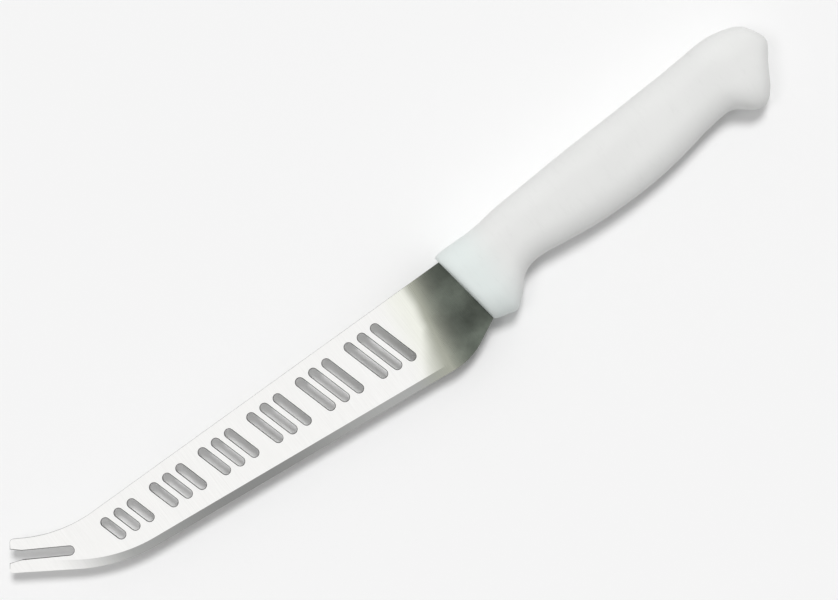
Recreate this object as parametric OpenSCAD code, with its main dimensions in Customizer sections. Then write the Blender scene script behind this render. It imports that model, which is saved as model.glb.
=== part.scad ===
// Cheese knife, lying on its side as it would lie on a table.
// A pierced steel blade with a forked, turned-up tip has a flat tang, and a white handle is moulded round it.
// +X runs from the handle's front to the tip, in line with the top of the handle's collar.
// +Y runs from the spine to the cutting edge, and +Z up through the knife's thickness.
// Finished pieces are moved so that the origin is under the middle of the knife, on the plane it rests on.

/* [Blade] */
// Length of the blade, from the handle's front to its tip
blade_len = 169; // [156:1:184]
// Height of the blade at its heel, out to the corner that the heel is rounded from
heel_h = 33.3; // [31.5:0.1:36]
// Distance of that corner from the handle's front
heel_x = 11.5; // [10:0.5:14]
// Radius of the heel
heel_r = 22; // [12:1:26]
// Angle between the handle's line and the cutting edge
edge_angle = 7; // [5.5:0.5:8.5]
// Distance of the spine below the line of the collar's top
spine_drop = 2.3; // [1:0.1:2.8]
// Angle at which the spine rises from the handle's line
spine_angle = 1.75; // [0.5:0.25:2]

/* [Steel] */
// Thickness of the steel, which the ricasso and the tang keep
stock_t = 1.9; // [1.5:0.1:2.5]
// Length of the unground ricasso along the spine
ricasso_len = 11.5; // [9:0.5:14]
// Length over which the ground side slopes down from the ricasso
plunge_len = 4; // [1:0.25:6]
// Angle by which the end of the ricasso leans towards the tip at the cutting edge
plunge_lean = 12; // [0:1:16]
// Thickness of the blade where the edge bevel starts
bevel_t = 1.1; // [0.8:0.05:1.3]
// Width of the edge bevel
bevel_w = 2.6; // [2:0.1:4]
// Thickness left at the cutting edge
edge_t = 0.1; // [0.05:0.01:0.3]

/* [Forked tip] */
// Angle at which the forked end turns up from the handle's line
tip_angle = 32; // [28:1:35]
// Distance back from the tip to where the spine turns up
sweep_back = 20.5; // [19.5:0.5:25]
// Radius of the hollow in which the spine turns up
sweep_r = 45; // [30:1:50]
// Angle of the lower prong's outer side
belly_angle = 34; // [31:1:37]
// Radius of the belly
belly_r = 58; // [40:1:66]
// Length of the straight stretch between the belly and the tip
tip_run = 21.5; // [17:0.5:24]
// Angle by which the blunt end leans off square
end_lean = 5.5; // [2:0.5:10]
// Radius of the two corners of the blunt end
tip_r = 1.2; // [0.5:0.1:1.5]
// Length of the notch between the prongs
notch_len = 20.5; // [14:0.5:23]
// Width of the notch
notch_w = 2.8; // [2:0.1:3.5]
// Length over which the notch opens out at its mouth
flare_len = 4; // [2:0.5:8]
// Width of the notch's mouth
flare_w = 4.4; // [4:0.1:5]

/* [Cut-outs] */
// Number of groups of slots along the blade
groups = 6; // [3:1:6]
// Number of slots in a group
slots = 3; // [1:1:3]
// Distance from the handle to the middle of the first group
first_group_x = 33; // [31:0.5:36]
// Distance back from the tip to the middle of the last group
last_group_back = 40; // [38:0.5:46]
// Distance from one slot of a group to the next
slot_pitch = 5.2; // [4.6:0.1:5.6]
// Width of a slot
slot_w = 2.8; // [2:0.1:3.2]
// Height that the first group takes up
first_slot_h = 16.5; // [12:0.5:18]
// Height that the last group takes up
last_slot_h = 9.3; // [7:0.1:11]
// Steel left between the spine and the slots
slot_margin = 3.75; // [3.5:0.25:5]
// Angle by which the slots lean
slot_lean = 15; // [0:1:18]

/* [Tang] */
// Length of the tang inside the handle
tang_len = 104; // [60:1:110]
// Height of the tang at the handle's front
tang_root_h = 15; // [12:0.5:17]
// Height of the tang at its end
tang_end_h = 11; // [8:0.5:13]
// Distance from the line of the collar's top to the tang's middle line
tang_mid = 11; // [10:0.25:12]
// Radius of the corners at the tang's end
tang_r = 4; // [1:0.25:4.25]
// Number of holes that lock the tang in the handle
tang_holes = 3; // [2:1:4]
// Diameter of those holes
tang_hole_d = 6; // [4:0.25:7]

/* [Handle] */
// Length of the handle
handle_len = 124.5; // [117:0.5:133]
// Height of the handle at the palm swell
grip_h = 25.5; // [24:0.25:27.5]
// Thickness of the handle between its two flat sides
grip_t = 19; // [16:0.5:22]
// Distance by which the handle's front leans over its height
front_lean = 3.4; // [0:0.2:4]

/* [Hidden] */

// Overrun of a cut past the surface that it opens
over = 0.5;
// Gap allowed between a round stretch and its straight steps
arc_gap = 0.02;
// Steps round the handle, and along it between two rows of its table
ring_steps = 36;
row_steps = 2;
// Steps round a hole or a slot's end
hole_steps = 48;
// Exponent of the handle's rounded section, where 2 is an ellipse
section_power = 2.3;
// Length of the handle over which the lean of its front dies away
lean_fade = 12;
// Place on the leaning front, as a share of its height, that the lengths are measured from
front_zero = 0.36;

// The handle from its front to its butt. Each row holds the place along the handle as a share of its length,
// the top and bottom lines as shares of its height, and half its thickness as a share of half grip_t.
// Past 1 the section is fuller than the distance between the flats, which then cut it.
handle_shares = [
    [0, 0.024, 1.055, 0.72],
    [0.006, 0.012, 1.076, 0.89],
    [0.02, 0.004, 1.098, 1],
    [0.044, 0.006, 1.125, 1.03],
    [0.072, 0.012, 1.155, 1.03],
    [0.099, 0.018, 1.094, 1.03],
    [0.127, 0.012, 0.975, 1.02],
    [0.151, 0, 0.859, 1.01],
    [0.181, -0.016, 0.804, 1.01],
    [0.221, -0.025, 0.8, 1.015],
    [0.281, -0.035, 0.847, 1.03],
    [0.369, -0.049, 0.906, 1.045],
    [0.466, -0.059, 0.937, 1.05],
    [0.562, -0.063, 0.931, 1.04],
    [0.651, -0.071, 0.89, 1.03],
    [0.731, -0.078, 0.829, 1.02],
    [0.791, -0.09, 0.798, 1.02],
    [0.823, -0.098, 0.812, 1.02],
    [0.847, -0.102, 0.89, 1.02],
    [0.87, -0.102, 0.98, 1.01],
    [0.89, -0.09, 1.012, 0.995],
    [0.912, -0.067, 0.984, 0.965],
    [0.934, -0.037, 0.882, 0.92],
    [0.953, 0, 0.737, 0.86],
    [0.969, 0.053, 0.616, 0.78],
    [0.982, 0.133, 0.529, 0.67],
    [0.992, 0.225, 0.461, 0.5],
    [0.998, 0.29, 0.412, 0.3],
    [1, 0.333, 0.376, 0.1]
];
// Place of the first and last tang hole, as shares of the tang's length
tang_hole_shares = [0.2, 0.85];

function unit(v) = v / norm(v);

// Heading of a line that rises towards the spine side by an angle as it runs to the tip
function heading(a) = [cos(a), -sin(a)];

// Point where the line through p along a meets the line through q along b
function meet(p, a, q, b) = p + a * cross(q - p, b) / cross(a, b);

// Smallest turn that leads from one direction to another
function turn(from, to) = to - from - 360 * round((to - from) / 360);

// Corner b between a and c, rounded to radius r with steps that keep within arc_gap
function rounded_corner(a, b, c, r) =
    let (u = unit(a - b), v = unit(c - b), half = acos(u * v) / 2)
    let (middle = b + unit(u + v) * r / sin(half), start = b + u * r / tan(half), end = b + v * r / tan(half))
    let (from = atan2(start.y - middle.y, start.x - middle.x), to = atan2(end.y - middle.y, end.x - middle.x))
    let (steps = ceil(abs(turn(from, to)) / (2 * acos(1 - arc_gap / r))))
    [for (i = [0:steps]) let (t = from + turn(from, to) * i / steps) middle + r * [cos(t), sin(t)]];

// Front face of the handle, and the shoulders of the blade that sit on it
front_h = grip_h * handle_shares[0][2];
function shoulder(y) = [front_lean * (front_zero - y / front_h), y];

// Corners of the blade, before rounding
spine_root = shoulder(spine_drop);
neck_root = shoulder(front_h);
heel = [heel_x, heel_h];
function edge_point(x) = [x, heel_h - (x - heel_x) * tan(edge_angle)];
function spine_point(x) = [x, spine_root.y - (x - spine_root.x) * tan(spine_angle)];
belly_side = belly_r * tan((belly_angle - edge_angle) / 2) + tip_run;
belly = edge_point(blade_len - belly_side * cos(belly_angle));
lower_tip = belly + heading(belly_angle) * belly_side;
sweep = spine_point(blade_len - sweep_back);
end_angle = tip_angle + end_lean;
upper_tip = meet(sweep, heading(tip_angle), lower_tip, [sin(end_angle), cos(end_angle)]);
mouth = (lower_tip + upper_tip) / 2;

// Corners of the tang
tang_bottom_root = shoulder(tang_mid + tang_root_h / 2);
tang_top_root = shoulder(tang_mid - tang_root_h / 2);
tang_bottom_end = [-tang_len, tang_mid + tang_end_h / 2];
tang_top_end = [-tang_len, tang_mid - tang_end_h / 2];
tang_end_points = concat(
    rounded_corner(tang_bottom_root, tang_bottom_end, tang_top_end, tang_r),
    rounded_corner(tang_bottom_end, tang_top_end, tang_top_root, tang_r)
);

belly_points = rounded_corner(lower_tip, belly, heel, belly_r);
blade_points = concat(
    [spine_root],
    rounded_corner(spine_root, sweep, upper_tip, sweep_r),
    rounded_corner(sweep, upper_tip, lower_tip, tip_r),
    rounded_corner(upper_tip, lower_tip, belly, tip_r),
    belly_points,
    rounded_corner(belly, heel, neck_root, heel_r),
    [neck_root, tang_bottom_root],
    tang_end_points,
    [tang_top_root]
);

// The cutting edge from the tip back to the ricasso
edge_points = concat([lower_tip], belly_points, [edge_point(ricasso_len)]);

// Slopes of the ground side and of the edge bevel, away from the cutting edge, and the height
// that the ground side would have at that edge
ground_w = (edge_point(ricasso_len).y - spine_point(ricasso_len).y) * cos(edge_angle);
ground_slope = (stock_t - bevel_t) / 2 / (ground_w - bevel_w);
ground_z = bevel_t / 2 - ground_slope * bevel_w;
bevel_slope = (bevel_t - edge_t) / 2 / bevel_w;

// Rows of the handle in real sizes: place along X, top line, bottom line and half thickness
handle_rows = [
    for (row = handle_shares)
        [-row[0] * handle_len, row[1] * grip_h, row[2] * grip_h, row[3] * grip_t / 2]
];

// Smooth curve through a table's rows, at place s counted in rows
function along(rows, s) =
    let (last = len(rows) - 1, i = min(floor(s), last - 1), f = s - i)
    let (a = rows[max(i - 1, 0)], b = rows[i], c = rows[i + 1], d = rows[min(i + 2, last)])
    (2 * b + (c - a) * f + (2 * a - 5 * b + 4 * c - d) * f * f + (3 * b - 3 * c + d - a) * f * f * f) / 2;

handle_rings = [
    for (s = [0:1 / row_steps:len(handle_rows) - 1])
        along(handle_rows, s)
];

// Point on a rounded section of half size 1, at angle t
function section(t) = [
    sign(cos(t)) * pow(abs(cos(t)), 2 / section_power),
    sign(sin(t)) * pow(abs(sin(t)), 2 / section_power)
];

function ring_point(ring, t) =
    let (p = section(t), y = (ring[1] + ring[2]) / 2 + p[0] * (ring[2] - ring[1]) / 2)
    let (lean = max(0, 1 + ring[0] / lean_fade))
    [ring[0] + lean * shoulder(y).x, y, p[1] * ring[3]];

// Middle of the rectangle that the knife covers
low_x = -handle_len;
high_x = max([for (p = blade_points) p.x]);
low_y = min(concat([for (p = blade_points) p.y], [for (ring = handle_rings) ring[1]]));
high_y = max(concat([for (p = blade_points) p.y], [for (ring = handle_rings) ring[2]]));

module placed() {
    translate([-(low_x + high_x) / 2, -(low_y + high_y) / 2, grip_t / 2])
        children();
}

// Prism along the line from p to q. It lies above a slope that starts at height z on that line
// and rises towards the spine side.
module above_slope(p, q, z, slope) {
    top = stock_t / 2 + over;
    reach = (top - z) / slope;
    length = norm(q - p) + 2 * over;
    translate(p)
        rotate(atan2(q.y - p.y, q.x - p.x))
            translate([-over, 0, 0])
                rotate([90, 0, 90])
                    linear_extrude(length)
                        polygon([[over, z - slope * over], [over, top], [-reach, top]]);
}

// Space in front of the ricasso on the upper side, with an end that slopes as the plunge does
module ground_zone() {
    top = stock_t / 2 + over;
    slope = plunge_len / (stock_t / 2);
    reach = heel_h + blade_len;
    translate(spine_point(ricasso_len))
        rotate(-plunge_lean)
            translate([0, reach, 0])
                rotate([90, 0, 0])
                    linear_extrude(2 * reach)
                        polygon([[-slope * over, top], [plunge_len, 0], [reach, 0], [reach, top]]);
}

// The steel given to it, with its upper side ground flat and the first stretches of its edge bevelled.
// Each stretch is cut from what the one before it leaves.
module ground(stretches) {
    difference() {
        if (stretches > 0)
            ground(stretches - 1)
                children();
        else
            children();
        intersection() {
            ground_zone();
            if (stretches > 0)
                above_slope(edge_points[stretches], edge_points[stretches - 1], edge_t / 2, bevel_slope);
            else
                above_slope(edge_point(0), edge_point(blade_len), ground_z, ground_slope);
        }
    }
}

// The steel given to it, ground and bevelled on both sides
module ground_both_sides() {
    stretches = len(edge_points) - 1;
    mirror([0, 0, 1])
        ground(stretches)
            mirror([0, 0, 1])
                ground(stretches)
                    children();
}

// Round-ended slot through the steel, of a length between the middles of its ends
module slot_cut(length, width) {
    cube([width, length, stock_t + 2 * over], center = true);
    for (end = [-1, 1])
        translate([0, end * length / 2, 0])
            cylinder(h = stock_t + 2 * over, d = width, center = true, $fn = hole_steps);
}

module cut_outs() {
    last_group_x = blade_len - last_group_back;
    for (g = [0:groups - 1], i = [0:slots - 1]) {
        group_x = first_group_x + (last_group_x - first_group_x) * g / (groups - 1);
        x = group_x + (i - (slots - 1) / 2) * slot_pitch;
        share = (x - first_group_x) / (last_group_x - first_group_x);
        h = first_slot_h + (last_slot_h - first_slot_h) * share;
        translate([x, spine_point(x).y + slot_margin + h / 2, 0])
            rotate(slot_lean)
                slot_cut((h - slot_w) / cos(slot_lean), slot_w);
    }
}

// Notch that splits the tip into two prongs, with a mouth that opens out
module notch() {
    h = stock_t + 2 * over;
    translate(mouth)
        rotate(-tip_angle) {
            translate([-(notch_len - notch_w) / 2, 0, 0])
                rotate(90)
                    slot_cut(notch_len, notch_w);
            translate([0, 0, -h / 2])
                linear_extrude(h)
                    polygon([
                        [-flare_len, -notch_w / 2],
                        [-flare_len, notch_w / 2],
                        [flare_len, flare_w - notch_w / 2],
                        [flare_len, notch_w / 2 - flare_w]
                    ]);
        }
}

// Holes in the tang, or the pins of plastic that fill them
module tang_hole_row(h) {
    for (i = [0:tang_holes - 1]) {
        share = tang_hole_shares[0] + (tang_hole_shares[1] - tang_hole_shares[0]) * i / (tang_holes - 1);
        translate([-tang_len * share, tang_mid, 0])
            cylinder(h = h, d = tang_hole_d, center = true, $fn = hole_steps);
    }
}

// Space that the tang takes up in the handle
module tang_space() {
    difference() {
        linear_extrude(stock_t, center = true)
            polygon(concat(
                [tang_bottom_root + unit(tang_bottom_root - tang_bottom_end) * over],
                tang_end_points,
                [tang_top_root + unit(tang_top_root - tang_top_end) * over]
            ));
        tang_hole_row(stock_t + 2 * over);
    }
}

// One-piece steel: blade, ricasso and tang
module blade() {
    color("gainsboro")
        placed()
            difference() {
                ground_both_sides()
                    linear_extrude(stock_t, center = true)
                        polygon(blade_points);
                cut_outs();
                notch();
                tang_hole_row(stock_t + 2 * over);
            }
}

// Full rounded form of the handle, before its flats are cut
module handle_form() {
    count = len(handle_rings);
    points = [
        for (ring = handle_rings, k = [0:ring_steps - 1])
            ring_point(ring, 360 * k / ring_steps)
    ];
    sides = [
        for (r = [0:count - 2], k = [0:ring_steps - 1])
            let (a = r * ring_steps + k, b = r * ring_steps + (k + 1) % ring_steps)
            each [[a, b, a + ring_steps], [b, b + ring_steps, a + ring_steps]]
    ];
    front = [for (k = [ring_steps - 1:-1:0]) k];
    butt = [for (k = [0:ring_steps - 1]) (count - 1) * ring_steps + k];
    polyhedron(points, concat(sides, [front, butt]));
}

// White handle, moulded round the tang and flat on both sides
module handle() {
    reach = 2 * handle_len;
    color("white")
        placed()
            difference() {
                intersection() {
                    handle_form();
                    translate([-reach, -reach / 2, -grip_t / 2])
                        cube([2 * reach, reach, grip_t]);
                }
                tang_space();
            }
}

blade();
handle();
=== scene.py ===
# Cheese knife on its side: a pierced, ground steel blade with a forked tip, in a moulded white handle.
# Lengths in the settings are millimetres and angles are degrees; the scene itself is in metres.
import math

import bpy
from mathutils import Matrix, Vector
from mathutils.geometry import delaunay_2d_cdt


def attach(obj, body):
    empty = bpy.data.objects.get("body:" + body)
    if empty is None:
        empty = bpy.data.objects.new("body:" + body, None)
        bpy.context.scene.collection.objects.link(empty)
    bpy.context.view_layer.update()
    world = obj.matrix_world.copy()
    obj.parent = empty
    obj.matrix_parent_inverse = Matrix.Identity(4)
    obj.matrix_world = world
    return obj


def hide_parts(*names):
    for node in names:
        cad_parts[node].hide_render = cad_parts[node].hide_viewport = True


mm = 0.001
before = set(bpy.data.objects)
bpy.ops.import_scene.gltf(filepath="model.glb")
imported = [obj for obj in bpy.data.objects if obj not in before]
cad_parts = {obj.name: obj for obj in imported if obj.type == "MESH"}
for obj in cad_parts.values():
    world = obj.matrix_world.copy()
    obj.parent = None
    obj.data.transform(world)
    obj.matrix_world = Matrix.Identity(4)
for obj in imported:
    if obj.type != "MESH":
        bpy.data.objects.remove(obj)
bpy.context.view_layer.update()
print("frame loaded:", ", ".join(sorted(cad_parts)))


# Lines lie in the knife's own plane, with x from the handle's front to the tip and y from spine to edge.
# A heading rises towards the spine by an angle as it runs to the tip.
def heading(angle):
    a = math.radians(angle)
    return Vector((math.cos(a), -math.sin(a)))


def spoke(a):
    return Vector((math.cos(a), math.sin(a)))


def squareTo(v):
    return Vector((v.y, -v.x))


def crossed(a, b):
    return a.x * b.y - a.y * b.x


def meet(p, a, q, b):
    return p + a * (crossed(q - p, b) / crossed(a, b))


def roundedCorner(a, b, c, radius, step):
    u = (a - b).normalized()
    v = (c - b).normalized()
    half = math.acos(u.dot(v)) / 2
    middle = b + (u + v).normalized() * (radius / math.sin(half))
    start = b + u * (radius / math.tan(half)) - middle
    end = b + v * (radius / math.tan(half)) - middle
    turn = math.atan2(crossed(start, end), start.dot(end))
    count = max(3, math.ceil(abs(turn) * radius / step))
    first = math.atan2(start.y, start.x)
    return [middle + radius * spoke(first + turn * i / count) for i in range(count + 1)]


def smoothStep(t):
    t = min(1, max(0, t))
    return t * t * (3 - 2 * t)


# sizes that the blade and the handle share
knife = {
    "steel": 1.9,
    "gripHeight": 25.5,
    "gripThickness": 19,
    "handleLength": 124.5,
    "frontShare": 1.055,  # height of the handle's front, as a share of the grip's
    "frontLean": 3.4,
    "frontZero": 0.36,  # share of the front's height at which it crosses the zero of all lengths
    "leanFade": 12,
}


# the point of the handle's leaning front at a height
def shoulder(y):
    share = y / (knife["gripHeight"] * knife["frontShare"])
    return Vector((knife["frontLean"] * (knife["frontZero"] - share), y))


blade = {
    "length": 169,
    "heelHeight": 33.3,
    "heelX": 11.5,
    "heelRadius": 22,
    "edgeAngle": 7,
    "spineDrop": 2.3,
    "spineAngle": 1.75,
    "ricasso": 11.5,
    "plunge": 5,
    "plungeLean": 12,
    "bevelThickness": 1.1,
    "bevelWidth": 2.6,
    "bevelStart": 0.5,  # distance ahead of the ricasso's end
    "edgeThickness": 0.1,
    "tipAngle": 32,
    "sweepBack": 20.5,
    "sweepRadius": 45,
    "bellyAngle": 34,
    "bellyRadius": 58,
    "tipRun": 21.5,
    "endLean": 5.5,
    "tipRadius": 1.2,
    "notchLength": 20.5,
    "notchWidth": 2.8,
    "flareLength": 4,
    "flareWidth": 4.4,
    "groups": 6,
    "slots": 3,
    "firstGroup": 33,
    "lastGroupBack": 40,
    "slotPitch": 5.2,
    "slotWidth": 2.8,
    "firstSlotHeight": 16.5,
    "lastSlotHeight": 9.3,
    "slotMargin": 3.75,
    "slotLean": 15,
    "tangLength": 104,
    "tangRootHeight": 15,
    "tangEndHeight": 11,
    "tangMiddle": 11,
    "tangRadius": 4,
    "tangHoles": (0.2, 0.525, 0.85),
    "tangHole": 6,
    "edgeBreak": 0.12,
    # the broader break at the openings widens their dark rim of painted shade
    "openingBreak": 0.22,
    "breakShare": 0.35,  # most of the half thickness that a broken edge takes
    "thinWall": 0.2,  # a rim thinner than this either side of the middle belongs to the honed edge
    "wallInset": 0.02,
    "sharpAngle": 5,
}

# how finely the blade's lines are cut into straight steps
steps = {
    "curve": 0.8,
    "heel": 0.6,
    "tang": 0.5,
    "tip": 0.15,
    "notchEnd": 16,
    "slotEnd": 12,
    "hole": 32,
    "edge": 3,
    "edgeFrom": 12,
    "pastTip": 6,
    "plungeLines": 14,
    "plungeAlong": 1.6,
    "plungePoints": 26,
    "plungeBefore": 4,
    "least": 1e-3,
    "same": 1e-4,
}

spineRoot = shoulder(blade["spineDrop"])
neckRoot = shoulder(knife["gripHeight"] * knife["frontShare"])
heel = Vector((blade["heelX"], blade["heelHeight"]))


def edgePoint(x):
    return Vector((x, heel.y - (x - heel.x) * math.tan(math.radians(blade["edgeAngle"]))))


def spinePoint(x):
    return Vector((x, spineRoot.y - (x - spineRoot.x) * math.tan(math.radians(blade["spineAngle"]))))


# the forked end, laid out from the lower prong's corner
bellyTurn = math.radians(blade["bellyAngle"] - blade["edgeAngle"])
bellySide = blade["bellyRadius"] * math.tan(bellyTurn / 2) + blade["tipRun"]
belly = edgePoint(blade["length"] - bellySide * math.cos(math.radians(blade["bellyAngle"])))
lowerTip = belly + heading(blade["bellyAngle"]) * bellySide
sweep = spinePoint(blade["length"] - blade["sweepBack"])
endAngle = math.radians(blade["tipAngle"] + blade["endLean"])
endLine = Vector((math.sin(endAngle), math.cos(endAngle)))
upperTip = meet(sweep, heading(blade["tipAngle"]), lowerTip, endLine)
mouth = (lowerTip + upperTip) / 2
bellyLine = roundedCorner(lowerTip, belly, heel, blade["bellyRadius"], steps["curve"])


# the notch between the prongs, from the upper prong round to the lower one
def notchLine():
    along = heading(blade["tipAngle"])
    across = -squareTo(along)
    half = blade["notchWidth"] / 2
    flare = (blade["flareWidth"] - blade["notchWidth"]) / 2
    inner = mouth - along * (blade["notchLength"] - half)
    sides = []
    for side in (-1, 1):
        start = mouth - along * blade["flareLength"] + across * side * half
        opening = along * blade["flareLength"] + across * side * flare
        sides.append([meet(start, opening, mouth, endLine), start])
    bend = []
    for i in range(steps["notchEnd"] + 1):
        a = math.pi * i / steps["notchEnd"]
        bend.append(inner - along * half * math.sin(a) - across * half * math.cos(a))
    return sides[0] + bend + sides[1][::-1]


def tangLine():
    middle, end = blade["tangMiddle"], -blade["tangLength"]
    bottomRoot = shoulder(middle + blade["tangRootHeight"] / 2)
    topRoot = shoulder(middle - blade["tangRootHeight"] / 2)
    bottomEnd = Vector((end, middle + blade["tangEndHeight"] / 2))
    topEnd = Vector((end, middle - blade["tangEndHeight"] / 2))
    return (
        [bottomRoot]
        + roundedCorner(bottomRoot, bottomEnd, topEnd, blade["tangRadius"], steps["tang"])
        + roundedCorner(bottomEnd, topEnd, topRoot, blade["tangRadius"], steps["tang"])
        + [topRoot]
    )


def bladeOutline():
    return (
        [spineRoot]
        + roundedCorner(spineRoot, sweep, upperTip, blade["sweepRadius"], steps["curve"])
        + roundedCorner(sweep, upperTip, lowerTip, blade["tipRadius"], steps["tip"])
        + notchLine()
        + roundedCorner(upperTip, lowerTip, belly, blade["tipRadius"], steps["tip"])
        + bellyLine
        + roundedCorner(belly, heel, neckRoot, blade["heelRadius"], steps["heel"])
        + [neckRoot]
        + tangLine()
    )


# groups of leaning slots, which get shorter towards the tip as the blade does
def slotLines():
    first, last = blade["firstGroup"], blade["length"] - blade["lastGroupBack"]
    tall, short = blade["firstSlotHeight"], blade["lastSlotHeight"]
    lean = math.radians(blade["slotLean"])
    down = Vector((-math.sin(lean), math.cos(lean)))
    side = squareTo(down)
    half = blade["slotWidth"] / 2
    lines = []
    for g in range(blade["groups"]):
        groupAt = first + (last - first) * g / (blade["groups"] - 1)
        for i in range(blade["slots"]):
            x = groupAt + (i - (blade["slots"] - 1) / 2) * blade["slotPitch"]
            share = (x - first) / (last - first)
            height = tall + (short - tall) * share
            middle = spinePoint(x) + Vector((0, blade["slotMargin"] + height / 2))
            reach = (height - blade["slotWidth"]) / math.cos(lean) / 2
            line = []
            for end in (1, -1):
                for k in range(steps["slotEnd"] + 1):
                    a = math.pi * k / steps["slotEnd"]
                    along = down * (reach + half * math.sin(a))
                    line.append(middle + end * (along + side * half * math.cos(a)))
            lines.append(line)
    return lines


def tangHoleLines():
    radius = blade["tangHole"] / 2
    angles = [math.tau * k / steps["hole"] for k in range(steps["hole"])]
    lines = []
    for share in blade["tangHoles"]:
        middle = Vector((-blade["tangLength"] * share, blade["tangMiddle"]))
        lines.append([middle + radius * spoke(a) for a in angles])
    return lines


outline = bladeOutline()
lowCorner = Vector((-knife["handleLength"], min(p.y for p in outline)))
highCorner = Vector((max(p.x for p in outline), max(p.y for p in outline)))
middleOfAll = (lowCorner + highCorner) / 2


# a point of the knife's own plane, at a height above its middle, in the scene
def placed(p, z):
    return Vector((p.x - middleOfAll.x, p.y - middleOfAll.y, z + knife["gripThickness"] / 2)) * mm


# the ricasso's leaning end, and the directions ahead of it and along it
plungeRoot = spinePoint(blade["ricasso"])
plungeAhead = heading(blade["plungeLean"])
plungeAlong = -squareTo(plungeAhead)

# the cutting edge from the tip back to the heel, and the slopes of the ground side and of the bevel
edgeIn = squareTo(heading(blade["edgeAngle"]))
straightEdge = range(int(bellyLine[-1].x), steps["edgeFrom"], -steps["edge"])
edgeLine = [lowerTip] + bellyLine + [edgePoint(x) for x in straightEdge]
groundWidth = (edgePoint(blade["ricasso"]).y - plungeRoot.y) * math.cos(math.radians(blade["edgeAngle"]))
groundSlope = (knife["steel"] - blade["bevelThickness"]) / 2 / (groundWidth - blade["bevelWidth"])
bevelSlope = (blade["bevelThickness"] - blade["edgeThickness"]) / 2 / blade["bevelWidth"]


def aheadOfPlunge(p):
    return (p - plungeRoot).dot(plungeAhead)


def fromEdge(p):
    gaps = []
    for a, b in zip(edgeLine, edgeLine[1:]):
        along = b - a
        share = min(1, max(0, (p - a).dot(along) / along.length_squared))
        gaps.append((a + along * share - p).length)
    return min(gaps)


def groundHeight(p):
    return blade["bevelThickness"] / 2 + groundSlope * ((p - heel).dot(edgeIn) - blade["bevelWidth"])


def bevelHeight(p):
    return blade["edgeThickness"] / 2 + bevelSlope * fromEdge(p)


# half the steel's thickness: full at the ricasso and the tang, then ground, with the edge bevel
def halfThickness(p):
    full = knife["steel"] / 2
    ahead = aheadOfPlunge(p)
    if ahead <= 0:
        return full
    share = smoothStep(ahead / blade["plunge"])
    return full * (1 - share) + min(full, groundHeight(p), bevelHeight(p)) * share


# the line where the bevel meets the ground side, run out past the tip
def bevelShoulder():
    line = []
    for i, p in enumerate(edgeLine):
        a = edgeLine[max(i - 1, 0)]
        b = edgeLine[min(i + 1, len(edgeLine) - 1)]
        inward = squareTo((b - a).normalized())
        if inward.y > 0:
            inward = -inward
        rise = groundHeight(p) - blade["edgeThickness"] / 2
        line.append(p + inward * rise / (bevelSlope - groundSlope * inward.dot(edgeIn)))
    line[0:0] = [line[0] + (line[0] - line[1]).normalized() * steps["pastTip"]]
    return [p for p in line if aheadOfPlunge(p) > blade["bevelStart"]]


# lines along the slope from the ricasso down to the ground side
def plungeLines():
    reach = [k * steps["plungeAlong"] - steps["plungeBefore"] for k in range(steps["plungePoints"])]
    lines = []
    for i in range(steps["plungeLines"] + 1):
        start = plungeRoot + plungeAhead * blade["plunge"] * i / steps["plungeLines"]
        lines.append([start + plungeAlong * r for r in reach])
    return lines


# the blade seen flat, cut into triangles along every line where its thickness changes
def flatSteel():
    points, edges, areas = [], [], []

    def addLine(line, closed):
        first = len(points)
        points.extend(line)
        numbers = list(range(first, len(points)))
        edges.extend(zip(numbers, numbers[1:]))
        if closed:
            edges.append((numbers[-1], numbers[0]))
            areas.append(numbers)

    for line in [outline] + slotLines() + tangHoleLines():
        flat = [p for i, p in enumerate(line) if (p - line[i - 1]).length > steps["least"]]
        turned = sum(crossed(a, b) for a, b in zip(flat, flat[1:] + flat[:1])) < 0
        addLine(flat[::-1] if turned else flat, True)
    addLine(bevelShoulder(), False)
    for line in plungeLines():
        addLine(line, False)
    found = delaunay_2d_cdt(points, edges, areas, 0, steps["same"], True)
    spots, faces, origins = found[0], found[2], found[5]
    return spots, [f for f, origin in zip(faces, origins) if origin == [0]]


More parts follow.
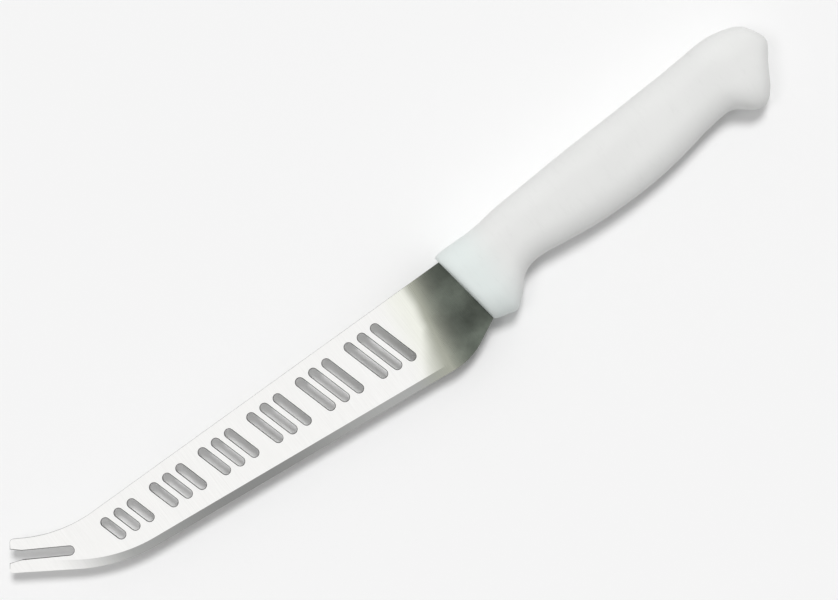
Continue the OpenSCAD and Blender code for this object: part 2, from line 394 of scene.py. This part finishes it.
def makeBlade():
    spots, kept = flatSteel()

    # edges of the plate run with the steel on their left
    sides = dict.fromkeys((a, b) for f in kept for a, b in zip(f, f[1:] + f[:1]))
    rim = [(a, b) for a, b in sides if (b, a) not in sides]
    after = dict(rim)
    before = {b: a for a, b in rim}
    shown = sorted({v for f in kept for v in f})
    number = {v: i for i, v in enumerate(shown)}

    def outward(a, b):
        return squareTo((spots[b] - spots[a]).normalized())

    # every edge is broken: the rim's points draw in on both faces, and a wall stands between them
    def key(p):
        return (round(p.x, 3), round(p.y, 3))

    opened = {key(p) for line in slotLines() + [notchLine()] for p in line}
    top, walls, atOpening = [], {}, set()
    for v in shown:
        p = spots[v].copy()
        if v in after:
            n, m = outward(before[v], v), outward(v, after[v])
            offset = (n + m) / max(0.5, 1 + n.dot(m))
            width = blade["edgeBreak"]
            if key(p) in opened:
                atOpening.add(v)
                width = blade["openingBreak"]
            inner = p - offset * width
            z = halfThickness(inner)
            walls[v] = (p - offset * blade["wallInset"], z - min(width, z * blade["breakShare"]))
            p = inner
        top.append((p, halfThickness(p)))

    vertices = [placed(p, z) for p, z in top] + [placed(p, -z) for p, z in top]
    count = len(top)
    wallNumber = {}
    for v, (p, z) in walls.items():
        wallNumber[v] = len(vertices)
        vertices += [placed(p, z), placed(p, -z)]

    polygons, finishes = [], []
    for f in kept:
        middle = sum((spots[v] for v in f), Vector((0, 0))) / 3
        onBevel = aheadOfPlunge(middle) > blade["bevelStart"] and bevelHeight(middle) < groundHeight(middle)
        polygons.append([number[v] for v in f])
        polygons.append([number[v] + count for v in reversed(f)])
        finishes += ["bevel" if onBevel else "ground"] * 2
    for a, b in rim:
        aTop, bTop = number[a], number[b]
        aWall, bWall = wallNumber[a], wallNumber[b]
        polygons.append([aWall, bWall, bTop, aTop])
        polygons.append([aWall + 1, bWall + 1, bWall, aWall])
        polygons.append([aTop + count, bTop + count, bWall + 1, aWall + 1])
        onEdge = walls[a][1] < blade["thinWall"] and walls[b][1] < blade["thinWall"]
        # faces round the slots and the notch get the openings' finish, a dark rim of painted shade
        atHole = a in atOpening and b in atOpening
        finishes += ["opening" if atHole else "bevel" if onEdge else "cut"] * 3

    mesh = bpy.data.meshes.new("bladeSteel")
    mesh.from_pydata(vertices, [], polygons)
    mesh.validate()
    piece = bpy.data.objects.new("bladeSteel", mesh)
    bpy.context.scene.collection.objects.link(piece)
    slotOf = {}
    for finish, material in finishesOfSteel.items():
        slotOf[finish] = len(mesh.materials)
        mesh.materials.append(material)
    for polygon, finish in zip(mesh.polygons, finishes):
        polygon.material_index = slotOf[finish]
        polygon.use_smooth = True
    mesh.set_sharp_from_angle(angle=math.radians(blade["sharpAngle"]))
    return piece


soft = "SMOOTHSTEP"
noiseSpread = (0.3, 0.7)  # what a noise mostly stays between


def addNode(tree, kind, inputs=None, **settings):
    made = tree.nodes.new(kind)
    for name, value in settings.items():
        setattr(made, name, value)
    for socket, value in (inputs or {}).items():
        if isinstance(value, bpy.types.NodeSocket):
            tree.links.new(value, made.inputs[socket])
        else:
            made.inputs[socket].default_value = value
    return made


def newMaterial(name):
    material = bpy.data.materials.new(name)
    material.use_nodes = True
    tree = material.node_tree
    tree.nodes.clear()
    shader = addNode(tree, "ShaderNodeBsdfPrincipled")
    addNode(tree, "ShaderNodeOutputMaterial", {"Surface": shader.outputs["BSDF"]})
    place = addNode(tree, "ShaderNodeTexCoord").outputs["Object"]
    return material, tree, shader, place


def noiseAt(tree, place, scale, detail=2, roughness=0.5, angle=0):
    mapped = addNode(tree, "ShaderNodeMapping", {
        "Vector": place, "Rotation": (0, 0, math.radians(angle)), "Scale": scale,
    })
    return addNode(tree, "ShaderNodeTexNoise", {
        "Vector": mapped.outputs["Vector"], "Scale": 1, "Detail": detail, "Roughness": roughness,
    }).outputs["Fac"]


def ranged(tree, value, between, to, curve="LINEAR"):
    return addNode(tree, "ShaderNodeMapRange", {
        "Value": value, "From Min": between[0], "From Max": between[1], "To Min": to[0], "To Max": to[1],
    }, interpolation_type=curve).outputs["Result"]


def inMetres(lengths):
    return [length * mm for length in lengths]


def mathOf(tree, operation, a, b):
    return addNode(tree, "ShaderNodeMath", {0: a, 1: b}, operation=operation).outputs[0]


def howFar(tree, value, length):
    return mathOf(tree, "ABSOLUTE", mathOf(tree, "SUBTRACT", value, length * mm), 0)


def mixedColour(tree, share, a, b, blend="MIX"):
    sockets = {0: share, 6: a, 7: b}
    return addNode(tree, "ShaderNodeMix", sockets, data_type="RGBA", blend_type=blend).outputs[2]


def mixedValue(tree, share, a, b):
    return addNode(tree, "ShaderNodeMix", {0: share, 2: a, 3: b}, data_type="FLOAT").outputs[0]


def addBump(tree, shader, height, depth):
    bump = addNode(tree, "ShaderNodeBump", {"Height": height, "Distance": depth * mm, "Strength": 1})
    tree.links.new(bump.outputs["Normal"], shader.inputs["Normal"])


def grey(value, red=1, green=1, blue=1):
    return (value * red, value * green, value * blue, 1)


def dotOf(tree, place, direction):
    dot = addNode(tree, "ShaderNodeVectorMath", {0: place, 1: direction}, operation="DOT_PRODUCT")
    return dot.outputs["Value"]


# how far a place lies from a point of the knife's plane, measured along a direction, in metres
def distanceAlong(tree, place, start, direction):
    root = placed(start, 0)
    reached = dotOf(tree, place, (direction.x, direction.y, 0))
    return mathOf(tree, "SUBTRACT", reached, root.x * direction.x + root.y * direction.y)


steel = {
    "ground": grey(0.94, 1, 0.995, 0.98),
    "nearPlunge": grey(0.96, 0.985, 1, 0.93),
    # painted reflection: the plunge's tone and the unground ricasso's dark tone stand for dark surroundings
    # mirrored in polished steel
    "plunge": grey(0.4, 0.975, 1, 0.85),
    "unground": grey(0.08, 0.88, 1, 0.84),
    # partly a coarser grind, partly painted reflection: the honed bevel's dark tone, paler towards its ends
    "bevel": grey(0.27, 0.99, 1, 0.98),
    "bevelAtEnds": grey(0.42, 0.99, 1, 0.98),
    "cut": grey(0.4),
    # partly a cut edge's tone, mostly painted shade: the dark rims round the slots and the notch darken the
    # openings
    "opening": grey(0.13, 1, 1, 0.97),
    "groundRoughness": 0.34,
    "ungroundRoughness": 0.3,
    "bevelRoughness": 0.42,
    "lineScale": (6500, 90, 90),
    "lineAngle": -6,
    "lineDepth": 0.003,
    "fineScale": (1500, 2200, 1500),
    "broadScale": (70, 45, 70),
    "mottleScale": (110, 110, 110),
    "streaks": (0.95, 1.05),
    # painted reflection: brighter and darker blotches of mirrored surroundings on the ricasso
    "reflectionBlotches": (0.75, 1.35),
    "lineRoughness": (-0.04, 0.05),
    "broadRoughness": (-0.03, 0.03),
    "wander": 5,  # how much the ricasso's end wanders
    "fadeLengths": (4.5, 12.5),  # length in which the unground steel fades, at the spine and at the edge
    "fadeBetween": (14, 28),
    "warmBetween": (3, 15),  # the ground steel's warm start, ahead of the ricasso
    "plungeBetween": (-12, 0),
    "plungePower": 3,
    # painted reflection: pale glints across the ricasso's middle and near the heel
    "glintAt": 11,  # a pale patch across the middle of the ricasso
    "glintReach": (0, 7),
    "glint": (1.85, 1),
    "heelBetween": (19, 28),
    "heelGlint": (0, 0.9),
    # painted reflection: where along the edge the bevel is darkest, where it pales, and where it runs out
    # on the fork
    "bevelMiddle": 92,
    "paleBetween": (6, 56),  # the bevel gets paler this far from its middle
    "forkBetween": (132, 158),
}


# the honed edge: a coarser grind's darker tone, and a painted reflection of darker surroundings that is
# darkest at its middle and runs out to the ground tone along the fork
def honedToneAndReflection(tree, place, main):
    along = distanceAlong(tree, place, Vector((0, 0)), Vector((1, 0)))
    fromMiddle = howFar(tree, along, steel["bevelMiddle"])
    atEnds = ranged(tree, fromMiddle, inMetres(steel["paleBetween"]), (0, 1), soft)
    atFork = ranged(tree, along, inMetres(steel["forkBetween"]), (0, 1), soft)
    return mixedColour(tree, atFork, mixedColour(tree, atEnds, main, steel["bevelAtEnds"]), steel["ground"])


# the ricasso: painted reflection of dark surroundings in polished steel, blotched, with painted pale glints
# in its middle and near the heel, and lighter towards the plunge
def ricassoPaintedReflection(tree, place, wandering, across):
    mottled = noiseAt(tree, place, steel["mottleScale"], 3, 0.6)
    reflectionBlotches = ranged(tree, mottled, noiseSpread, steel["reflectionBlotches"])
    fromGlint = howFar(tree, across, steel["glintAt"])
    glint = ranged(tree, fromGlint, inMetres(steel["glintReach"]), steel["glint"], soft)
    atHeel = ranged(tree, across, inMetres(steel["heelBetween"]), steel["heelGlint"], soft)
    paler = mathOf(tree, "MULTIPLY", reflectionBlotches, mathOf(tree, "ADD", glint, atHeel))
    dark = mixedColour(tree, 1, steel["unground"], paler, "MULTIPLY")
    nearing = ranged(tree, wandering, inMetres(steel["plungeBetween"]), (0, 1))
    return mixedColour(tree, mathOf(tree, "POWER", nearing, steel["plungePower"]), dark, steel["plunge"])


# ground across the blade, and closer-grained where the ricasso was left unground
def steelFinish(name, main, roughness, honed=False):
    material, tree, shader, place = newMaterial(name)
    lines = noiseAt(tree, place, steel["lineScale"], 3, 0.6, steel["lineAngle"])
    fine = noiseAt(tree, place, steel["fineScale"])
    broad = noiseAt(tree, place, steel["broadScale"])

    # the unground finish and the ricasso's painted dark reflection fade out past a wandering line, and
    # further out at the edge than at the spine
    ahead = distanceAlong(tree, place, plungeRoot, plungeAhead)
    across = distanceAlong(tree, place, plungeRoot, Vector((0, 1)))
    drift = mathOf(tree, "MULTIPLY", mathOf(tree, "SUBTRACT", broad, 0.5), steel["wander"] * mm)
    wandering = mathOf(tree, "ADD", ahead, drift)
    fading = ranged(tree, across, inMetres(steel["fadeBetween"]), inMetres(steel["fadeLengths"]))
    unground = ranged(tree, mathOf(tree, "DIVIDE", wandering, fading), (0, 1), (1, 0), soft)

    if honed:
        main = honedToneAndReflection(tree, place, main)
    warm = ranged(tree, wandering, inMetres(steel["warmBetween"]), (1, 0), soft)
    main = mixedColour(tree, warm, main, steel["nearPlunge"], "MULTIPLY")
    # the ricasso's painted dark reflection replaces the main colour on the unground steel
    colour = mixedColour(tree, unground, main, ricassoPaintedReflection(tree, place, wandering, across))
    streaks = ranged(tree, lines, noiseSpread, steel["streaks"])
    tree.links.new(mixedColour(tree, 1, colour, streaks, "MULTIPLY"), shader.inputs["Base Color"])
    shader.inputs["Metallic"].default_value = 1

    rough = mixedValue(tree, unground, roughness, steel["ungroundRoughness"])
    rough = mathOf(tree, "ADD", rough, ranged(tree, lines, noiseSpread, steel["lineRoughness"]))
    rough = mathOf(tree, "ADD", rough, ranged(tree, broad, noiseSpread, steel["broadRoughness"]))
    tree.links.new(rough, shader.inputs["Roughness"])
    addBump(tree, shader, mixedValue(tree, unground, lines, fine), steel["lineDepth"])
    return material


finishesOfSteel = {
    "ground": steelFinish("groundSteel", steel["ground"], steel["groundRoughness"]),
    "bevel": steelFinish("bevelSteel", steel["bevel"], steel["bevelRoughness"], True),
    "cut": steelFinish("cutSteel", steel["cut"], steel["bevelRoughness"]),
    # painted shade: the openings' dark rims
    "opening": steelFinish("openingShadeSteel", steel["opening"], steel["bevelRoughness"]),
}
bladePiece = makeBlade()
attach(bladePiece, "root")
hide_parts("blade")
print("blade made:", len(bladePiece.data.polygons), "faces")


# place from the front as a share of the length, top and bottom lines as shares of the height,
# and half the thickness as a share of half the thickness between the flats
handle = {
    "rows": [
        (0, 0.024, 1.055, 0.72), (0.006, 0.012, 1.076, 0.89), (0.02, 0.004, 1.098, 1),
        (0.044, 0.006, 1.125, 1.03), (0.072, 0.012, 1.155, 1.03), (0.099, 0.018, 1.094, 1.03),
        (0.127, 0.012, 0.975, 1.02), (0.151, 0, 0.859, 1.01), (0.181, -0.016, 0.804, 1.01),
        (0.221, -0.025, 0.8, 1.015), (0.281, -0.035, 0.847, 1.03), (0.369, -0.049, 0.906, 1.045),
        (0.466, -0.059, 0.937, 1.05), (0.562, -0.063, 0.931, 1.04), (0.651, -0.071, 0.89, 1.03),
        (0.731, -0.078, 0.829, 1.02), (0.791, -0.09, 0.798, 1.02), (0.823, -0.098, 0.812, 1.02),
        (0.847, -0.102, 0.89, 1.02), (0.87, -0.102, 0.98, 1.01), (0.89, -0.09, 1.012, 0.995),
        (0.912, -0.067, 0.984, 0.965), (0.934, -0.037, 0.882, 0.92), (0.953, 0, 0.737, 0.86),
        (0.969, 0.053, 0.616, 0.78), (0.982, 0.133, 0.529, 0.67), (0.992, 0.225, 0.461, 0.5),
        (0.998, 0.29, 0.412, 0.3), (1, 0.333, 0.376, 0.1),
    ],
    "rowSteps": 6,
    "ringSteps": 120,
    "sectionPower": 2.3,
    "flatBlend": 0.3,
    "seamHeight": 0.07,
    "seamShape": {0: 1, 0.2: 0.7},  # share of that height, by degrees from the seam's middle
    "seamAngles": (-0.9, -0.45, -0.2, 0, 0.2, 0.45, 0.9),
    "seamFade": 6,  # rings over which the seam comes in at both ends
    "capInset": 0.6,
    "capLeast": 0.4,
    "colour": grey(0.79, 0.995, 1, 0.985),
    "collarTint": grey(0.8, 0.935, 1, 0.98),
    "roughness": 0.46,
    "collarRoughness": 0.36,
    "collarGrain": 0.25,
    "gripBetween": (6, 19),  # distances from the front between which the collar turns into the grip
    "grainScale": (3600, 3600, 3600),
    "grainDepth": 0.03,
    "broadScale": (55, 90, 90),
    "broadTones": (0.985, 1.015),
    "scuffScale": (700, 160, 300),
    "scuffAngle": 25,
    "scuffsBetween": (0.55, 0.8),
    "scuffTones": (1, 0.96),
    "rubbedBetween": (0.35, 0.75),
    "rubbedRoughness": (-0.03, 0.08),
    "refraction": 1.49,
}


# a ring's place, top, bottom and half thickness, on smooth lines through the rows
def alongRows(s):
    rows = handle["rows"]
    last = len(rows) - 1
    i = min(int(s), last - 1)
    f = s - i
    found = []
    for a, b, c, d in zip(rows[max(i - 1, 0)], rows[i], rows[i + 1], rows[min(i + 2, last)]):
        bend = (2 * a - 5 * b + 4 * c - d) * f * f + (3 * b - 3 * c + d - a) * f ** 3
        found.append((2 * b + (c - a) * f + bend) / 2)
    return (
        -found[0] * knife["handleLength"],
        found[1] * knife["gripHeight"],
        found[2] * knife["gripHeight"],
        found[3] * knife["gripThickness"] / 2,
    )


# the flats run softly into the rounded sides
def underFlat(z):
    flat, blend = knife["gripThickness"] / 2, handle["flatBlend"]
    over = (abs(z) - flat) / blend
    return math.copysign(flat - blend * math.log1p(math.exp(-over)), z) if over > -30 else z


def ringPoint(ring, t):
    power = 2 / handle["sectionPower"]
    across = math.copysign(abs(math.cos(t)) ** power, math.cos(t))
    up = math.copysign(abs(math.sin(t)) ** power, math.sin(t))
    y = (ring[1] + ring[2]) / 2 + across * (ring[2] - ring[1]) / 2
    lean = max(0, 1 + ring[0] / knife["leanFade"])
    return Vector((ring[0] + lean * shoulder(y).x, y, underFlat(up * ring[3])))


# angles round a ring, with closer steps at the two mould seams
def ringAngles():
    step = 360 / handle["ringSteps"]
    angles = [step * k for k in range(handle["ringSteps"]) if (step * k) % 180 not in (0, step, 180 - step)]
    for seam in (0, 180):
        angles += [(seam + a) % 360 for a in handle["seamAngles"] + (-step, step, -step / 2, step / 2)]
    return sorted(angles)


def makeHandle():
    angles = ringAngles()
    around = len(angles)
    count = (len(handle["rows"]) - 1) * handle["rowSteps"] + 1
    vertices = []
    for r in range(count):
        ring = alongRows(r / handle["rowSteps"])
        fade = smoothStep(r / handle["seamFade"]) * smoothStep((count - 1 - r) / handle["seamFade"])
        for a in angles:
            p = ringPoint(ring, math.radians(a))
            fromSeam = abs((a + 90) % 180 - 90)
            share = handle["seamShape"].get(round(fromSeam, 3), 0) * fade
            p.y += math.copysign(handle["seamHeight"] * share, math.cos(math.radians(a)))
            vertices.append(p)

    # both ends close over a slightly smaller ring
    def addCap(ringNumber):
        ring = [vertices[ringNumber * around + k] for k in range(around)]
        middle = sum(ring, Vector()) / around
        first = len(vertices)
        for p in ring:
            kept = max(handle["capLeast"], 1 - handle["capInset"] / (p - middle).length)
            vertices.append(middle + (p - middle) * kept)
        return first

    firstCap = addCap(0)
    lastCap = addCap(count - 1)
    starts = [firstCap] + [r * around for r in range(count)] + [lastCap]
    polygons = []
    for a, b in zip(starts, starts[1:]):
        for k in range(around):
            n = (k + 1) % around
            polygons.append([a + n, a + k, b + k, b + n])
    polygons.append([firstCap + k for k in range(around)])
    polygons.append([lastCap + k for k in range(around - 1, -1, -1)])
    mesh = bpy.data.meshes.new("handleMoulding")
    mesh.from_pydata([placed(p, p.z) for p in vertices], [], polygons)
    mesh.validate()
    mesh.polygons.foreach_set("use_smooth", [len(p.vertices) == 4 for p in mesh.polygons])
    mesh.materials.append(handlePlastic())
    piece = bpy.data.objects.new("handleMoulding", mesh)
    bpy.context.scene.collection.objects.link(piece)
    return piece


# fine mould grain on the grip, and a smoother, cooler collar
def handlePlastic():
    material, tree, shader, place = newMaterial("whitePlastic")
    grain = noiseAt(tree, place, handle["grainScale"], 3, 0.55)
    broad = noiseAt(tree, place, handle["broadScale"])
    scuffs = noiseAt(tree, place, handle["scuffScale"], 4, 0.7, handle["scuffAngle"])
    behind = distanceAlong(tree, place, Vector((0, 0)), Vector((-1, 0)))
    grip = ranged(tree, behind, inMetres(handle["gripBetween"]), (0, 1), soft)
    colour = mixedColour(tree, grip, handle["collarTint"], handle["colour"])
    tones = ranged(tree, broad, noiseSpread, handle["broadTones"])
    colour = mixedColour(tree, 1, colour, tones, "MULTIPLY")
    scuffed = ranged(tree, scuffs, handle["scuffsBetween"], handle["scuffTones"])
    tree.links.new(mixedColour(tree, 1, colour, scuffed, "MULTIPLY"), shader.inputs["Base Color"])
    rough = mixedValue(tree, grip, handle["collarRoughness"], handle["roughness"])
    rubbed = ranged(tree, scuffs, handle["rubbedBetween"], handle["rubbedRoughness"])
    tree.links.new(mathOf(tree, "ADD", rough, rubbed), shader.inputs["Roughness"])
    depth = mixedValue(tree, grip, handle["collarGrain"], 1)
    addBump(tree, shader, mathOf(tree, "MULTIPLY", grain, depth), handle["grainDepth"])
    shader.inputs["IOR"].default_value = handle["refraction"]
    return material


handlePiece = makeHandle()
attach(handlePiece, "root")
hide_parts("handle")
print("handle made:", len(handlePiece.data.polygons), "faces")


studio = {
    "lookAt": (-8.841, -3.103),
    "turn": 142.5,
    "frameWidth": 266.03,
    "distance": 1300,
    "sensor": 36,
    "farthest": 20,  # metres
    "floorSize": 8000,
    "floorTiles": 8,
    "floorColour": grey(0.9),
    "floorSeen": grey(0.93),
    "lamps": {
        "keyLamp": {"from": (-0.66, -0.75), "offZenith": 20.5, "level": 0.495, "spread": 15},
        "sideLamp": {"from": (0.9, -0.44), "offZenith": 21, "level": 0.08, "spread": 15},
    },
    "skyFrom": (-0.05, -0.495, 0.86),
    "skyBetween": (-0.5, 0.9),
    "skyLevels": (0.25, 0.45),
}


def makeFloor():
    half = studio["floorSize"] / 2 * mm
    tiles = studio["floorTiles"]
    places = [-half + 2 * half * i / tiles for i in range(tiles + 1)]
    squares = []
    for i in range(tiles):
        for k in range(tiles):
            a = i * (tiles + 1) + k
            squares.append((a, a + tiles + 1, a + tiles + 2, a + 1))
    mesh = bpy.data.meshes.new("floor")
    mesh.from_pydata([(x, y, 0) for x in places for y in places], [], squares)
    material, tree, shader, place = newMaterial("paleFloor")
    seen = addNode(tree, "ShaderNodeLightPath").outputs["Is Camera Ray"]
    colour = mixedColour(tree, seen, studio["floorColour"], studio["floorSeen"])
    tree.links.new(colour, shader.inputs["Base Color"])
    shader.inputs["Roughness"].default_value = 1
    shader.inputs["Specular IOR Level"].default_value = 0
    mesh.materials.append(material)
    floor = bpy.data.objects.new("floor", mesh)
    bpy.context.scene.collection.objects.link(floor)


# white behind everything, and a soft sky that is brighter on the spine's side for the light it gives
def makeSky():
    world = bpy.data.worlds.new("studioSky")
    bpy.context.scene.world = world
    world.use_nodes = True
    tree = world.node_tree
    tree.nodes.clear()
    path = addNode(tree, "ShaderNodeLightPath").outputs
    mirrored = mathOf(tree, "MAXIMUM", path["Is Glossy Ray"], path["Is Transmission Ray"])
    seen = mathOf(tree, "MAXIMUM", path["Is Camera Ray"], mirrored)
    direction = addNode(tree, "ShaderNodeTexCoord").outputs["Generated"]
    side = dotOf(tree, direction, studio["skyFrom"])
    level = ranged(tree, side, studio["skyBetween"], studio["skyLevels"], soft)
    sky = addNode(tree, "ShaderNodeBackground", {"Color": grey(1), "Strength": level})
    white = addNode(tree, "ShaderNodeBackground", {"Color": grey(1), "Strength": 1})
    mix = addNode(tree, "ShaderNodeMixShader", {0: seen, 1: sky.outputs[0], 2: white.outputs[0]})
    addNode(tree, "ShaderNodeOutputWorld", {"Surface": mix.outputs[0]})


# each lamp adds its level to the brightness of a white floor
def makeLamp(name, look):
    data = bpy.data.lights.new(name, "SUN")
    lean = math.radians(look["offZenith"])
    data.energy = look["level"] * math.pi / math.cos(lean)
    data.angle = math.radians(look["spread"])
    lamp = bpy.data.objects.new(name, data)
    x, y = look["from"]
    away = Vector((x * math.sin(lean), y * math.sin(lean), math.cos(lean)))
    lamp.location = away
    lamp.rotation_euler = away.to_track_quat("Z", "Y").to_euler()
    lamp.visible_glossy = False
    bpy.context.scene.collection.objects.link(lamp)


def makeCamera():
    data = bpy.data.cameras.new("camera")
    data.sensor_fit = "HORIZONTAL"
    data.sensor_width = studio["sensor"]
    data.lens = studio["sensor"] * studio["distance"] / studio["frameWidth"]
    data.clip_end = studio["farthest"]
    camera = bpy.data.objects.new("camera", data)
    x, y = studio["lookAt"]
    camera.location = Vector((x, y, knife["gripThickness"] / 2 + studio["distance"])) * mm
    camera.rotation_euler = (0, 0, math.radians(studio["turn"]))
    bpy.context.scene.collection.objects.link(camera)
    bpy.context.scene.camera = camera


makeFloor()
makeSky()
for name, look in studio["lamps"].items():
    makeLamp(name, look)
makeCamera()
bpy.context.scene.view_settings.view_transform = "Standard"
print("studio made")
